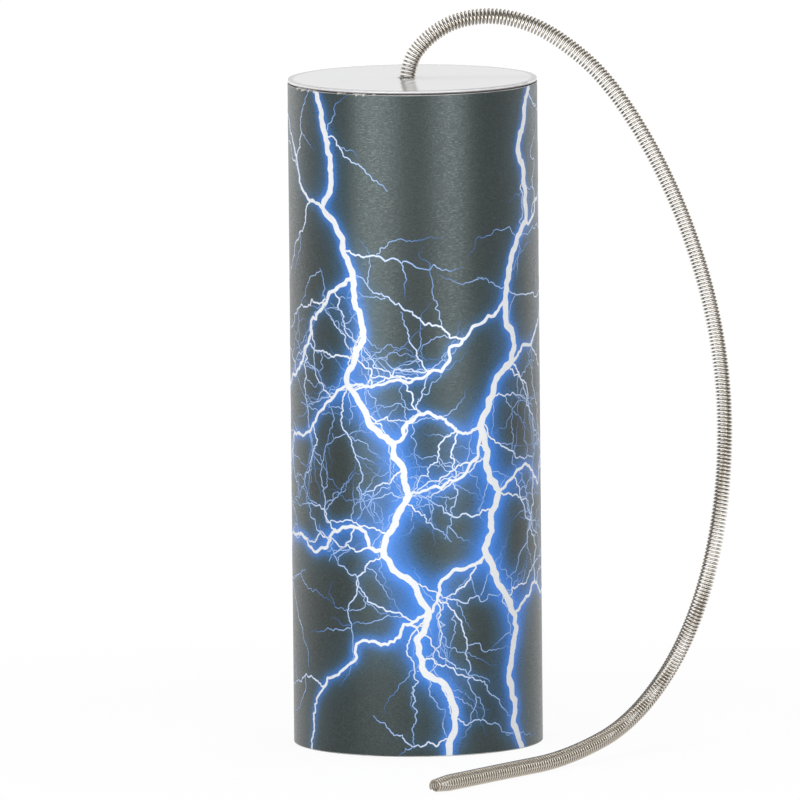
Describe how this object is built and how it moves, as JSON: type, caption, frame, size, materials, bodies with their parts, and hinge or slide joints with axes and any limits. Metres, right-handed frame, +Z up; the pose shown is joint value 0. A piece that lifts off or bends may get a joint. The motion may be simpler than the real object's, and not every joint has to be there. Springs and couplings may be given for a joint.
{
  "type": "thunder tube",
  "caption": "Open-ended card tube with a translucent drum head and a long thin coil spring that arches from the head's middle to the floor; shaking it sounds like thunder.",
  "frame": {"origin": "middle of the tube's open lower end, on the surface that it stands on", "axes": "+Z up along the tube's axis, +X towards the side that the spring arches over to, -Y to the front"},
  "size_m": [0.1178, 0.1378, 0.1964],
  "materials": {
    "board": "matte",
    "liner_paper": "matte",
    "printed_paper": "satin",
    "glue": "gloss",
    "head_film": "gloss",
    "spring_wire": "satin"
  },
  "bodies": {
    "tube": {"tube_core": "board", "inner_liner": "liner_paper", "printed_wrap": "printed_paper", "rim_glue": "glue", "head": "head_film", "anchor_glue": "glue", "spring_root": "spring_wire"},
    "neck": {"spring_neck": "spring_wire"},
    "spring": {"spring_free": "spring_wire"}
  },
  "joints": [
    {"name": "spring_swing", "type": "hinge", "parent": "tube", "child": "neck", "pos_m": [-0.0018, 0, 0.178], "axis": [0, 0, 1], "continuous": true},
    {"name": "spring_lift", "type": "hinge", "parent": "neck", "child": "spring", "pos_m": [0.0007, 0, 0.1845], "axis": [0, -1, 0], "range_deg": [0, 45]}
  ]
}
